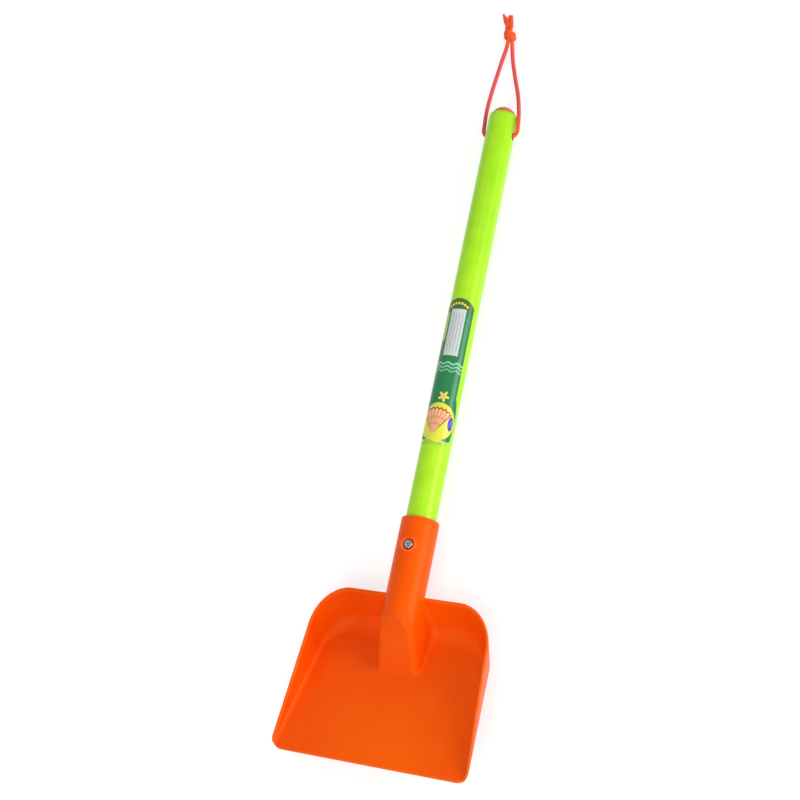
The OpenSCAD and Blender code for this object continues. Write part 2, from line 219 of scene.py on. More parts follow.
def inner_round(a, b, r):
    """Intersection of two solids, its edge rounded by r."""
    return np.minimum(np.maximum(a, b), -r) + np.hypot(np.maximum(a + r, 0), np.maximum(b + r, 0))


def outer_round(a, b, r):
    """Union of two solids, with a fillet of radius r where they meet."""
    return np.maximum(np.minimum(a, b), r) - np.hypot(np.maximum(r - a, 0), np.maximum(r - b, 0))


def surface_net(field, low_corner, high_corner, step):
    """Mesh of the field's zero surface: one point in each cell that it crosses, then pulled onto it."""
    axes = [np.arange(a, b + step, step) for a, b in zip(low_corner, high_corner)]
    value = np.empty([len(a) for a in axes], np.float32)
    for i, x in enumerate(axes[0]):
        value[i] = field(np.full((1, 1), x), axes[1][:, None], axes[2][None, :])
    solid = value < 0
    corners = [(i, j, k) for i in (0, 1) for j in (0, 1) for k in (0, 1)]
    cut = [slice(0, -1), slice(1, None)]
    inside = sum(solid[cut[i], cut[j], cut[k]].astype(np.int8) for i, j, k in corners)
    cells = (inside > 0) & (inside < len(corners))
    index = np.full(cells.shape, -1, np.int32)
    index[cells] = np.arange(cells.sum())
    # each cell's point is the mean of the places where the surface crosses the cell's edges
    at = np.argwhere(cells)
    total = np.zeros((len(at), 3))
    count = np.zeros(len(at))
    for a in range(3):
        for corner in corners:
            if corner[a]:
                continue
            first = at + corner
            second = first.copy()
            second[:, a] += 1
            v0 = value[tuple(first.T)]
            v1 = value[tuple(second.T)]
            crossed = (v0 < 0) != (v1 < 0)
            share = np.where(crossed, v0 / np.where(crossed, v0 - v1, 1), 0)
            spot = first.astype(float)
            spot[:, a] += share
            total += spot * crossed[:, None]
            count += crossed
    points = np.array([a[0] for a in axes]) + total / count[:, None] * step
    # each edge that the surface crosses makes a face of the four cells round it
    faces = []
    for a in range(3):
        b, c = (a + 1) % 3, (a + 2) % 3
        low_side = [slice(1, -1)] * 3
        low_side[a] = slice(0, -1)
        high_side = list(low_side)
        high_side[a] = slice(1, None)
        edge = np.argwhere(solid[tuple(low_side)] != solid[tuple(high_side)])
        start = np.ones(3, int)
        start[a] = 0
        edge = edge + start
        quad = []
        for db, dc in ((-1, -1), (0, -1), (0, 0), (-1, 0)):
            cell = edge.copy()
            cell[:, b] += db
            cell[:, c] += dc
            quad.append(index[tuple(cell.T)])
        quad = np.stack(quad, 1)
        outward = solid[tuple(edge.T)]
        quad[~outward] = quad[~outward][:, ::-1]
        faces.append(quad)
    for _ in range(PULLS):
        slopes = np.zeros_like(points)
        for a in range(3):
            nudge = np.zeros(3)
            nudge[a] = NUDGE
            slopes[:, a] = (field(*(points + nudge).T) - field(*(points - nudge).T)) / (2 * NUDGE)
        size = np.maximum((slopes**2).sum(1), LEAST_SLOPE)
        pull = -(field(*points.T) / size)[:, None] * slopes
        points = points + np.clip(pull, -step / 2, step / 2)
    return points, np.vstack(faces)


# Materials: pattern scales are in turns per metre, bump depths in metres, tones in hex codes
CLOUD_SCALE = 14.0
# the next two set the noise and the pointiness range of the paler sharp edges, a painted highlight
EDGE_HIGHLIGHT_NOISE_SCALE = 90.0
EDGE_HIGHLIGHT_POINTINESS = (0.52, 0.6)
SHEEN_SCALE = 60.0
SHEEN_SPREAD = 0.1
GRAIN_SCALE = 2600.0
PLATING_SCALE = 200.0
SCRATCH_SHEEN = 0.2
SCRATCH_DEPTH = 0.00002
FIBRE_SCALE = 5000.0
FIBRE_SHARE = 0.4
FIBRE_DEPTH = 0.0001
# the next two set how the braid's height makes its crowns lighter and its gaps darker, a painted shade
CROWN_LIGHT_SHARE = 0.6
CORD_SHADE_STOPS = (0.1, 0.7)
FILM_SCALE = 30.0
FILM_TONES = ("0A663A", "127A44")
RIPPLE_SCALE = 160.0
RIPPLE_DEPTH = 0.00025

# Label: where it lies on the shaft and its form, in millimetres along the shaft and round it
LABEL_FROM = 47.5
LABEL_LEN = 112.5
LABEL_TO = LABEL_FROM + LABEL_LEN
LABEL_WRAP = radians(128.0)
LABEL_GAP = 0.05
LABEL_T = 0.15
LABEL_R = 3.0
ARCH_R = 14.5
ARCH_AT = LABEL_TO - ARCH_R
SWELL = 3.2
SWELL_AT = 66.0
SWELL_LONG = 17.0
SWELL_ROUND = 0.6
LABEL_COLUMNS = 97
LABEL_ROWS = 160

# Its picture: places are across from the middle of the label and along the shaft
PRINT_SOFT = 0.25
ARCH_W = 7.5
ARCH_FOOT = LABEL_TO - 9.5
DOTS_R = ARCH_R - 4.0
DOT_R = 0.95
DOT_TURN = radians(13)
PANEL = (-4.9, 6.5, LABEL_TO - 45.0, LABEL_TO - 8.5)
RULES = 4
RULE_AT = (-2.6, -2.2)
RULE_STEP = 2.3
RULE_SPAN = (LABEL_TO - 42.0, LABEL_TO - 11.5)
STRIPE = (-9.2, -6.6, LABEL_TO - 33.0, LABEL_TO - 11.0)
WAVES = ((109.0, "8FCFA8"), (106.2, "7CC49A"), (103.4, "69B98C"))
WAVE = (0.7, 7.0, 1.0)
WAVE_W = 1.3
SAND = (1.0, LABEL_FROM + 17.0, 14.2)
SHELL_AT = (-0.4, LABEL_FROM + 7.4)
SHELL_R = 19.0
SHELL_HALF = radians(33.0)
SHELL_RIB = radians(9.4)
SHELL_SCALLOP = 0.5
SHELL_LINE = 1.1
SHELL_INSET = 0.5
SHELL_RINGS = (8.0, 13.0)
SHELL_RING_W = 0.7
RIB_SOFT = -0.4
STAR_AT = (2.6, LABEL_FROM + 36.0)
STAR_ARMS = 5.0
STAR_TURN = 0.8
STAR_SWING = 1.3
STAR_R = 3.0
STAR_HEART = 1.3
MUSSEL = (11.6, LABEL_FROM + 17.0, 5.2, 2.2)
MUSSEL_SHINE = (12.6, LABEL_FROM + 17.6, 3.4, 3.0)
DUNES = ((LABEL_FROM + 4.2, 1.1, 17.0, 1.0, "DDD94A"), (LABEL_FROM + 2.4, 0.9, 13.0, 3.0, "9CC83C"))

# The Mix node's colour sockets, by number, because it has several with the same name
MIX_FIRST = 6
MIX_SECOND = 7
MIX_RESULT = 2


def srgb(hex_code):
    parts = [int(hex_code[i : i + 2], 16) / 255 for i in (0, 2, 4)]
    return tuple(c / 12.92 if c <= 0.04045 else ((c + 0.055) / 1.055) ** 2.4 for c in parts) + (1.0,)


class Nodes:
    """A material's node tree with short ways to add and join nodes."""

    def __init__(self, name):
        self.material = bpy.data.materials.new(name)
        self.material.use_nodes = True
        self.tree = self.material.node_tree
        self.shader = self.tree.nodes["Principled BSDF"]

    def add(self, kind, **inputs):
        node = self.tree.nodes.new("ShaderNode" + kind)
        for key, value in inputs.items():
            self.put(node, key, value)
        return node

    def put(self, node, key, value):
        socket = node.inputs[key.replace("_", " ")] if isinstance(key, str) else node.inputs[key]
        if isinstance(value, bpy.types.NodeSocket):
            self.tree.links.new(value, socket)
        else:
            socket.default_value = value

    def set(self, **inputs):
        for key, value in inputs.items():
            self.put(self.shader, key, value)

    def math(self, operation, *values):
        node = self.tree.nodes.new("ShaderNodeMath")
        node.operation = operation
        for i, value in enumerate(values):
            self.put(node, i, value)
        return node.outputs[0]

    def place(self):
        return self.add("TexCoord").outputs["Object"]

    def lay(self):
        node = self.add("Attribute")
        node.attribute_name = "lay"
        return self.add("SeparateXYZ", Vector=node.outputs["Vector"]).outputs

    def noise(self, scale, detail=2.0, rough=0.5, vector=None):
        node = self.add("TexNoise", Scale=scale, Detail=detail, Roughness=rough)
        self.put(node, "Vector", vector or self.place())
        return node.outputs["Fac"]

    def ramp(self, value, stops):
        node = self.tree.nodes.new("ShaderNodeValToRGB")
        self.put(node, "Fac", value)
        band = node.color_ramp
        while len(band.elements) < len(stops):
            band.elements.new(0.5)
        for element, (at, colour) in zip(band.elements, stops):
            element.position = at
            element.color = colour
        return node.outputs["Color"]

    def tones(self, value, codes, stops=(0.3, 0.7)):
        return self.ramp(value, [(at, srgb(code)) for at, code in zip(stops, codes)])

    def mix(self, share, first, second):
        node = self.tree.nodes.new("ShaderNodeMix")
        node.data_type = "RGBA"
        self.put(node, 0, share)
        self.put(node, MIX_FIRST, first)
        self.put(node, MIX_SECOND, second)
        return node.outputs[MIX_RESULT]

    def bump(self, height, distance, strength=1.0):
        node = self.add("Bump", Height=height, Distance=distance, Strength=strength)
        self.put(self.shader, "Normal", node.outputs[0])


def moulded_plastic(name, colours, rough, grain, gloss, tint):
    """Satin moulded plastic: a slow change of colour, paler sharp edges that are a painted highlight
    broken up by noise, a fine grain, an uneven sheen.
    """
    m = Nodes(name)
    colour = m.tones(m.noise(CLOUD_SCALE, detail=3.0), colours[:3], (0.3, 0.5, 0.7))
    # painted highlight: the sharpest edges take the palest tone, broken up by noise
    edge = m.add("NewGeometry").outputs["Pointiness"]
    edge = m.ramp(edge, [(EDGE_HIGHLIGHT_POINTINESS[0], (0, 0, 0, 1)), (EDGE_HIGHLIGHT_POINTINESS[1], (1, 1, 1, 1))])
    edge = m.math("MULTIPLY", edge, m.noise(EDGE_HIGHLIGHT_NOISE_SCALE, detail=4.0))
    sheen = m.noise(SHEEN_SCALE, detail=4.0)
    m.set(Base_Color=m.mix(edge, colour, srgb(colours[3])))
    m.set(Specular_IOR_Level=gloss, Specular_Tint=tint)
    m.set(Roughness=m.math("MULTIPLY_ADD", sheen, SHEEN_SPREAD, rough - SHEEN_SPREAD / 2))
    m.bump(m.noise(GRAIN_SCALE), grain)
    return m.material


def bare_steel(name, tones, rough, scratch_scale):
    """Steel with fine scratches, stretched as their scale along each axis says, and cloudy plating."""
    m = Nodes(name)
    stretch = m.add("Mapping", Scale=scratch_scale)
    m.put(stretch, "Vector", m.place())
    lines = m.noise(1.0, detail=3.0, rough=0.6, vector=stretch.outputs[0])
    m.set(Base_Color=m.tones(m.noise(PLATING_SCALE), tones), Metallic=1.0)
    m.set(Roughness=m.math("MULTIPLY_ADD", lines, SCRATCH_SHEEN, rough))
    m.bump(lines, SCRATCH_DEPTH)
    return m.material


def braided_cord(name, coral, orange):
    """Braided cord: paler crowns and darker gaps from the mesh's own plait, a painted light and shade,
    with fine fibre noise, and a soft sheen.
    """
    m = Nodes(name)
    lay = m.lay()
    fibre = m.math("MULTIPLY", m.noise(FIBRE_SCALE), FIBRE_SHARE)
    # painted shade: the braid's gaps darker and its crowns lighter, with the cord's own fibre noise on top
    braid_shade_and_fibre = m.math("MULTIPLY_ADD", lay["X"], CROWN_LIGHT_SHARE, fibre)
    pale = m.tones(braid_shade_and_fibre, coral, CORD_SHADE_STOPS)
    orange_shaded = m.tones(braid_shade_and_fibre, orange, CORD_SHADE_STOPS)
    m.set(Base_Color=m.mix(lay["Y"], pale, orange_shaded), Roughness=0.7)
    m.set(Sheen_Weight=0.3, Sheen_Roughness=0.4, Specular_IOR_Level=0.15)
    m.set(Sheen_Tint=(1.0, 0.45, 0.4, 1.0))
    m.bump(fibre, FIBRE_DEPTH, strength=0.5)
    return m.material


def printed_film(name):
    """Glossy printed film: a made-up beach picture laid out in millimetres of the label."""
    m = Nodes(name)
    lay = m.lay()
    u = lay["X"]
    v = lay["Y"]
    colour = m.tones(m.noise(FILM_SCALE), FILM_TONES)

    def less(a, b):
        return m.math("SUBTRACT", a, b)

    def share(distance):
        return m.add("Clamp", Value=m.math("MULTIPLY_ADD", distance, -1 / PRINT_SOFT, 0.5)).outputs[0]

    def radius(cu, cv, stretch=1.0):
        du = m.math("POWER", m.math("MULTIPLY", less(u, cu), stretch), 2.0)
        dv = m.math("POWER", less(v, cv), 2.0)
        return m.math("SQRT", m.math("ADD", du, dv))

    def disc(cu, cv, r, stretch=1.0):
        return share(less(radius(cu, cv, stretch), r))

    def panel(u1, u2, v1, v2):
        du = less(m.math("ABSOLUTE", less(u, (u1 + u2) / 2)), (u2 - u1) / 2)
        dv = less(m.math("ABSOLUTE", less(v, (v1 + v2) / 2)), (v2 - v1) / 2)
        return share(m.math("MAXIMUM", du, dv))

    def wave(height, swing, length, start):
        turn = m.math("SINE", m.math("MULTIPLY_ADD", u, 2 * pi / length, start))
        return m.math("MULTIPLY_ADD", turn, swing, height)

    def below(line):
        return share(less(v, line))

    def band(line, width):
        return share(less(m.math("ABSOLUTE", less(v, line)), width / 2))

    def paint(mask, hex_code):
        nonlocal colour
        colour = m.mix(mask, colour, srgb(hex_code))

    # the dark arch at the top with its row of dots, the blank ruled panel and the stripe beside it
    paint(share(less(ARCH_R - ARCH_W, radius(0.0, ARCH_AT))), "3F6A2C")
    paint(below(ARCH_FOOT), "1F7A48")
    for i in range(-3, 4):
        turn = i * DOT_TURN
        paint(disc(DOTS_R * sin(turn), ARCH_AT + DOTS_R * cos(turn), DOT_R), "E8DC3A")
    paint(panel(*PANEL), "C8CECC")
    for i in range(RULES):
        left, right = (at + RULE_STEP * i for at in RULE_AT)
        paint(panel(left, right, *RULE_SPAN), "8E9692")
    paint(panel(*STRIPE), "B9C83A")
    # waves
    for height, hex_code in WAVES:
        paint(band(wave(height, *WAVE), WAVE_W), hex_code)
    # a ribbed scallop shell on a round patch of sand
    paint(disc(*SAND), "D9D944")
    fan = m.math("ARCTAN2", less(u, SHELL_AT[0]), less(v, SHELL_AT[1]))
    ribs = m.math("COSINE", m.math("MULTIPLY", fan, 2 * pi / SHELL_RIB))
    edge = less(radius(*SHELL_AT), m.math("MULTIPLY_ADD", ribs, SHELL_SCALLOP, SHELL_R))
    side = m.math("MULTIPLY", less(m.math("ABSOLUTE", fan), SHELL_HALF), SHELL_R)
    outline = m.math("MAXIMUM", edge, side)
    paint(share(less(outline, SHELL_LINE)), "9A4A28")
    paint(share(outline), "DB9468")
    within = share(m.math("ADD", outline, SHELL_INSET))
    paint(m.math("MULTIPLY", within, share(m.math("MULTIPLY", ribs, RIB_SOFT))), "F0BC94")
    for r in SHELL_RINGS:
        ring = share(less(m.math("ABSOLUTE", less(edge, r - SHELL_R)), SHELL_RING_W / 2))
        paint(m.math("MULTIPLY", ring, share(outline)), "C87C52")
    # a starfish above it, a mussel at its side and two dunes at the foot
    angle = m.math("ARCTAN2", less(v, STAR_AT[1]), less(u, STAR_AT[0]))
    arms = m.math("COSINE", m.math("MULTIPLY_ADD", angle, STAR_ARMS, STAR_TURN))
    arms = m.math("MULTIPLY_ADD", arms, STAR_SWING, STAR_R)
    paint(share(less(radius(*STAR_AT), arms)), "E6D552")
    paint(disc(*STAR_AT, STAR_HEART), "E8B060")
    paint(disc(*MUSSEL), "3C43A8")
    paint(disc(*MUSSEL_SHINE), "6A6FC8")
    for height, swing, length, start, hex_code in DUNES:
        paint(below(wave(height, swing, length, start)), hex_code)
    m.set(Base_Color=colour, Roughness=0.2, Specular_IOR_Level=0.2)
    m.set(Coat_Weight=0.15, Coat_Roughness=0.08)
    m.bump(m.noise(RIPPLE_SCALE, detail=3.0), RIPPLE_DEPTH)
    return m.material


# Tints of the gloss, then each material with its tones from dark to pale; the plastics' fourth, palest
# tone is a painted highlight on their sharp edges, and the cord's dark tones are painted shade in its
# braid's gaps
WARM = (1.0, 0.5, 0.2, 1.0)
FRESH = (1.0, 1.0, 0.3, 1.0)
ORANGE_TONES = ("EA4A00", "EE5200", "F25A00", "FF8A48")
LIME_TONES = ("80CE00", "8CD400", "98DA00", "BCEC38")
CAP_TONES = ("D0562C", "DE6844", "E47450", "EE9A80")
ORANGE = moulded_plastic("orange_plastic", ORANGE_TONES, rough=0.4, grain=0.00002, gloss=0.3, tint=WARM)
LIME = moulded_plastic("lime_plastic", LIME_TONES, rough=0.3, grain=0.000004, gloss=0.5, tint=FRESH)
CAP = moulded_plastic("cap_plastic", CAP_TONES, rough=0.4, grain=0.00002, gloss=0.4, tint=WARM)
STEEL = bare_steel("drawn_steel", ("A8AAAC", "C4C6C8"), 0.25, (3000.0, 60.0, 3000.0))
PLATED = bare_steel("plated_steel", ("80828E", "A4A6B0"), 0.18, (1200.0, 1200.0, 1200.0))
FILM = printed_film("label_film")
CORD = braided_cord("cord", ("B83434", "EE5E58"), ("DA3812", "FF6430"))

# The CAD pieces that keep their own mesh
DRESS = {"shaft_sleeve": LIME, "shaft_tube": STEEL, "end_cap": CAP}
for node, material in DRESS.items():
    for slot in frame["nodes"][node].material_slots:
        slot.material = material


# Cord: its routes from the middle of the shaft's hole, in metres along the row's axes
LEFT_ROUTE = [
    (-0.0082, 0, 0), (-0.01, 0.0003, 0), (-0.0117, 0.0011, 0), (-0.0131, 0.0025, -0.0001),
    (-0.0139, 0.0042, -0.0003), (-0.0143, 0.0062, -0.0006), (-0.0149, 0.01, -0.0016),
    (-0.0159, 0.015, -0.0034), (-0.0171, 0.0205, -0.0056), (-0.0181, 0.027, -0.008),
    (-0.0184, 0.035, -0.0096), (-0.0178, 0.0435, -0.01), (-0.0168, 0.052, -0.01),
    (-0.0157, 0.0605, -0.01), (-0.0146, 0.069, -0.0098), (-0.0136, 0.076, -0.009),
    (-0.0127, 0.0815, -0.0078),
]
RIGHT_ROUTE = [
    (0.0082, 0, 0), (0.01, 0.0003, 0), (0.0117, 0.0011, 0.0001), (0.013, 0.0024, 0.0004),
    (0.0138, 0.0041, 0.0008), (0.014, 0.0061, 0.0012), (0.0138, 0.01, 0.0016),
    (0.0132, 0.015, 0.0012), (0.0118, 0.0205, -0.0006), (0.0095, 0.027, -0.0039),
    (0.0067, 0.035, -0.0074), (0.0038, 0.0435, -0.0095), (0.0008, 0.052, -0.01),
    (-0.002, 0.0605, -0.01), (-0.0046, 0.069, -0.0098), (-0.0068, 0.076, -0.009),
    (-0.0085, 0.0815, -0.0078),
]
LEFT_TAIL = [(-0.0144, 0.1015, -0.0084), (-0.0166, 0.106, -0.0096), (-0.02, 0.1115, -0.01)]
RIGHT_TAIL = [(-0.0114, 0.1015, -0.0084), (-0.0128, 0.106, -0.0096), (-0.0144, 0.111, -0.01)]
LEFT_LEN = 0.092
RIGHT_LEN = 0.095

# Its section and braid in millimetres, and its tone from coral, 0, to orange, 1, along each strand
CORD_D = 3.0
CORD_SIDES = 48
CORD_STEP = 0.25
CURVE_STEPS = 40
BRAID_TURNS = 6
BRAID_PITCH = 3.0
BRAID_DEPTH = 0.09
CROWN_R = CORD_D / 2 + BRAID_DEPTH
BEND_START = 8.2
LEFT_TONE = ((84, 92), (0, 1))
RIGHT_TONE = ((0, 16, 30, 86, 93), (0.9, 0.7, 0, 0, 1))
HOLE_TONE = 0.5
UP = np.array((0.0, 0.0, 1.0))

# Knot's place: where the strands enter and leave it, STRAND_X to each side
KNOT_LEN = 12.0
KNOT_LAP = 0.5
KNOT_D = 9.4
KNOT_TURN = radians(14.0)
KNOT_AT = np.array((-10.9, 92.0, KNOT_D / 2 - HOLE_AT.z))
KNOT_DIR = np.array((-sin(KNOT_TURN), cos(KNOT_TURN), 0.0))
KNOT_SIDE = np.array((cos(KNOT_TURN), sin(KNOT_TURN), 0.0))
STRAND_X = 1.7


def even_line(line, step):
    """Even points along a line, and their distances from its start."""
    far = np.concatenate([[0], np.cumsum(np.linalg.norm(np.diff(line, axis=0), axis=1))])
    even = np.linspace(0, far[-1], max(3, round(far[-1] / step) + 1))
    return np.stack([np.interp(even, far, line[:, i]) for i in range(3)], 1), even


def smooth_line(points, first, last, step):
    """Even points on a smooth curve through the given ones, and their distances from its start."""
    points = np.asarray(points, float)
    gap = np.linalg.norm(np.diff(points, axis=0), axis=1)[:, None]
    way = np.diff(points, axis=0) / gap
    inner = (way[:-1] * gap[1:] + way[1:] * gap[:-1]) / (gap[1:] + gap[:-1])
    slope = np.vstack([first, inner, last])
    t = np.linspace(0, 1, CURVE_STEPS, endpoint=False)[:, None]
    line = []
    for a, b, m, n, size in zip(points, points[1:], slope, slope[1:], gap):
        curve = (2 * t**3 - 3 * t**2 + 1) * a + (3 * t**2 - 2 * t**3) * b
        line.append(curve + size * ((t**3 - 2 * t**2 + t) * m + (t**3 - t**2) * n))
    return even_line(np.vstack(line + [points[-1:]]), step)


def side_vectors(line, side):
    """Two directions square to the line at each point, turning no more than the line does."""
    way = unit(np.gradient(line, axis=0))
    sides = np.empty_like(line)
    for i, w in enumerate(way):
        side = unit(side - side.dot(w) * w)
        sides[i] = side
    return sides, np.cross(way, sides)


def plait(around, along):
    """Height of the braid, from 0 in a gap to 1 on a crown."""
    climb = 2 * pi * along / BRAID_PITCH
    return 0.5 + 0.5 * np.sin(BRAID_TURNS * around + climb) * np.sin(BRAID_TURNS * around - climb)


def tube_parts(line, along, side, wide, thick, tone):
    """Points, faces and lay of a braided tube with an oval section, closed at both ends."""
    sides, ups = side_vectors(line, side)
    turn = np.arange(CORD_SIDES) * 2 * pi / CORD_SIDES
    height = plait(turn[None, :], along[:, None])
    sink = BRAID_DEPTH * (1 - height)
    a = (np.broadcast_to(wide, along.shape)[:, None] - sink) * np.cos(turn)
    b = (np.broadcast_to(thick, along.shape)[:, None] - sink) * np.sin(turn)
    points = line[:, None] + a[..., None] * sides[:, None] + b[..., None] * ups[:, None]
    n = CORD_SIDES
    k = np.arange(n)
    rings = np.arange(len(line) - 1)[:, None] * n
    faces = np.stack([rings + k, rings + (k + 1) % n, rings + n + (k + 1) % n, rings + n + k], -1)
    faces = [tuple(f) for f in faces.reshape(-1, 4)]
    faces += [tuple(k), tuple(k + (len(line) - 1) * n)]
    tones = np.broadcast_to(np.broadcast_to(tone, along.shape)[:, None], height.shape)
    lay = np.stack([height, tones, np.zeros_like(height)], -1)
    return points.reshape(-1, 3), faces, lay.reshape(-1, 3)


def cord_piece(name, parts, node):
    """One object from parts given in millimetres from the hole, standing for a node of the cord."""
    points = []
    faces = []
    lay = []
    start = 0
    for part_points, part_faces, part_lay in parts:
        points.append(part_points)
        faces += [tuple(i + start for i in f) for f in part_faces]
        lay.append(part_lay)
        start += len(part_points)
    piece = new_object(name, (np.vstack(points) + np.array(HOLE_AT)) * MM, faces, CORD)
    write_lay(piece, np.vstack(lay))
    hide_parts(node)
    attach(piece, "hang_loop")
    return piece


def make_strand(name, node, route, exit_side, tones):
    """One side of the loop, from inside the shaft straight into the knot, past the last two points."""
    end = KNOT_AT - (KNOT_LEN / 2 - KNOT_LAP) * KNOT_DIR + exit_side * STRAND_X * KNOT_SIDE
    points = np.vstack([np.array(route[:-2]) / MM, end])
    last = unit(unit(end - points[-2]) + KNOT_DIR)
    line, along = smooth_line(points, (exit_side, 0, 0), last, CORD_STEP)
    line[:, 2] = np.maximum(line[:, 2], CROWN_R - HOLE_AT.z)
    tone = np.interp(along, tones[0], tones[1])
    parts = tube_parts(line, along, UP, CROWN_R, CROWN_R, tone)
    return cord_piece(name, [parts], node), (line + np.array(HOLE_AT)) * MM


# Knot: a pulled-tight overhand knot of both strands, laid side by side along one curve. The curve is
# straightened from KNOT_STRAIGHT on, and its strands swell with the distance from the knot's axis.
KNOT_WIDE = 1.25
KNOT_LONG = 0.214
KNOT_LEAN = 6.0
KNOT_DEEP = 1.2
KNOT_REACH = 2.112
KNOT_STRAIGHT = 1.72
KNOT_POINTS = 400
KNOT_STEP = 0.12
KNOT_STRAND_R = 2.35
KNOT_PAIR = 1.4
LOOSE_LEN = 3.0
LEAVE_FROM = 1.3
LEAVE_LONG = 3.0
KNOT_BOX = (6.2, KNOT_LEN / 2 + 0.5, 5.2)
KNOT_NET = 0.22
KNOT_INSET = 0.02
BATCH = 4000


def knot_lines():
    """Both strands' middle lines in the knot's own axes: across, along, up."""
    t = np.linspace(-KNOT_REACH, KNOT_REACH, KNOT_POINTS)
    out = eased(np.clip((np.abs(t) - KNOT_STRAIGHT) / (KNOT_REACH - KNOT_STRAIGHT), 0, 1))
    x = -(t**3 - 3 * t) * KNOT_WIDE * (1 - out)
    y = (t**5 - KNOT_LEAN * t) * KNOT_LONG
    z = ((t**4 - 4 * t**2) * KNOT_DEEP + 2 * KNOT_DEEP) * (1 - out)
    line, along = even_line(np.stack([x, y, z], 1), KNOT_STEP)
    way = unit(np.gradient(line, axis=0))
    leave = np.clip((np.abs(line[:, 1:2]) - LEAVE_FROM) / LEAVE_LONG, 0, 1)
    across = np.hstack([leave, 1 - leave, 0 * leave])
    across = unit(across - (across * way).sum(1, keepdims=True) * way)
    ends = np.minimum(along, along[-1] - along)
    loose = np.clip(1 - ends / LOOSE_LEN, 0, 1)[:, None]
    apart = KNOT_PAIR + (STRAND_X - KNOT_PAIR) * loose
    lobe = np.clip(np.abs(line[:, 0]) / (2 * KNOT_WIDE), 0, 1) ** 2
    radius = CORD_D / 2 + (KNOT_STRAND_R - CORD_D / 2) * lobe * (1 - loose[:, 0])
    return [(line + side * apart * across, radius, along) for side in (-1, 1)]


def make_knot():
    strands = knot_lines()
    centres = np.vstack([line for line, _, _ in strands])
    radii = np.concatenate([radius for _, radius, _ in strands])
    along = np.concatenate([far for _, _, far in strands])
    frames = [side_vectors(line, np.array((1.0, 0, 0))) for line, _, _ in strands]
    sides = np.vstack([f[0] for f in frames])
    ups = np.vstack([f[1] for f in frames])

    def nearest(points):
        spot = np.empty(len(points), int)
        gap = np.empty(len(points))
        for i in range(0, len(points), BATCH):
            away = points[i : i + BATCH, None] - centres[None]
            far = np.sqrt((away**2).sum(-1)) - radii
            spot[i : i + BATCH] = far.argmin(1)
            gap[i : i + BATCH] = far.min(1)
        return spot, gap

    def field(x, y, z):
        x, y, z = np.broadcast_arrays(x, y, z)
        gap = nearest(np.stack([x.ravel(), y.ravel(), z.ravel()], 1))[1].reshape(x.shape)
        return np.maximum(gap, np.abs(y) - KNOT_LEN / 2 + KNOT_INSET)

    points, faces = surface_net(field, [-v for v in KNOT_BOX], KNOT_BOX, KNOT_NET)
    spot = nearest(points)[0]
    away = points - centres[spot]
    around = np.arctan2((away * ups[spot]).sum(1), (away * sides[spot]).sum(1))
    height = plait(around, along[spot])
    points = points - unit(away) * (BRAID_DEPTH * (1 - height))[:, None]
    lay = np.stack([height, np.ones_like(height), np.zeros_like(height)], 1)
    points = KNOT_AT + points @ np.array((KNOT_SIDE, KNOT_DIR, UP))
    return cord_piece("cord_knot_tied", [(points, faces.tolist(), lay)], "cord_knot")


# Tails: the left one draws to a point, the right one is a flat frayed cut. Their half widths and half
# thicknesses go by the share of the way along, and their threads start inside the end.
LEFT_WIDE = ((0, 0.35, 0.7, 1), (1.5, 2.3, 2.4, 1.0))
LEFT_THICK = ((0, 0.35, 0.7, 1), (1.5, 1.5, 1.1, 0.5))
LEFT_THREADS = 30
LEFT_REACH = (1.6, 3.2)
LEFT_SEED = 3
RIGHT_WIDE = ((0, 0.35, 1), (1.5, 1.5, 2.0))
RIGHT_THICK = ((0, 0.35, 1), (1.5, 1.5, 1.3))
RIGHT_THREADS = 110
RIGHT_REACH = (0.7, 1.8)
RIGHT_SEED = 5
THREAD_R = 0.13
THREAD_SIDES = 5
THREAD_AT = np.array((0.0, 0.35, 0.7, 1.0))
THREAD_TAPER = 0.6
THREAD_FILL = 0.92
THREAD_SPREAD = 0.12
THREAD_SWAY = 0.05
THREAD_RISE = 0.04
THREAD_BEND = 0.22
THREAD_ROOT = 0.5


def thread_parts(start, way, bend, length):
    """Points and faces of a short thread that starts inside the cord's end and tapers."""
    line = start + way * length * THREAD_AT[:, None] + bend * (THREAD_AT**2)[:, None]
    side = unit(np.cross(way, (0.3, 0.2, 1.0)))
    up = np.cross(way, side)
    n = THREAD_SIDES
    turn = np.arange(n) * 2 * pi / n
    ring = np.cos(turn)[:, None] * side + np.sin(turn)[:, None] * up
    points = line[:, None] + ring[None] * (THREAD_R * (1 - THREAD_TAPER * THREAD_AT))[:, None, None]
    last = (len(line) - 1) * n
    faces = []
    for i in range(0, last, n):
        for k in range(n):
            m = (k + 1) % n
            faces.append((i + k, i + m, i + n + m, i + n + k))
    faces += [tuple(range(n)), tuple(range(last, last + n))]
    return points.reshape(-1, 3), faces


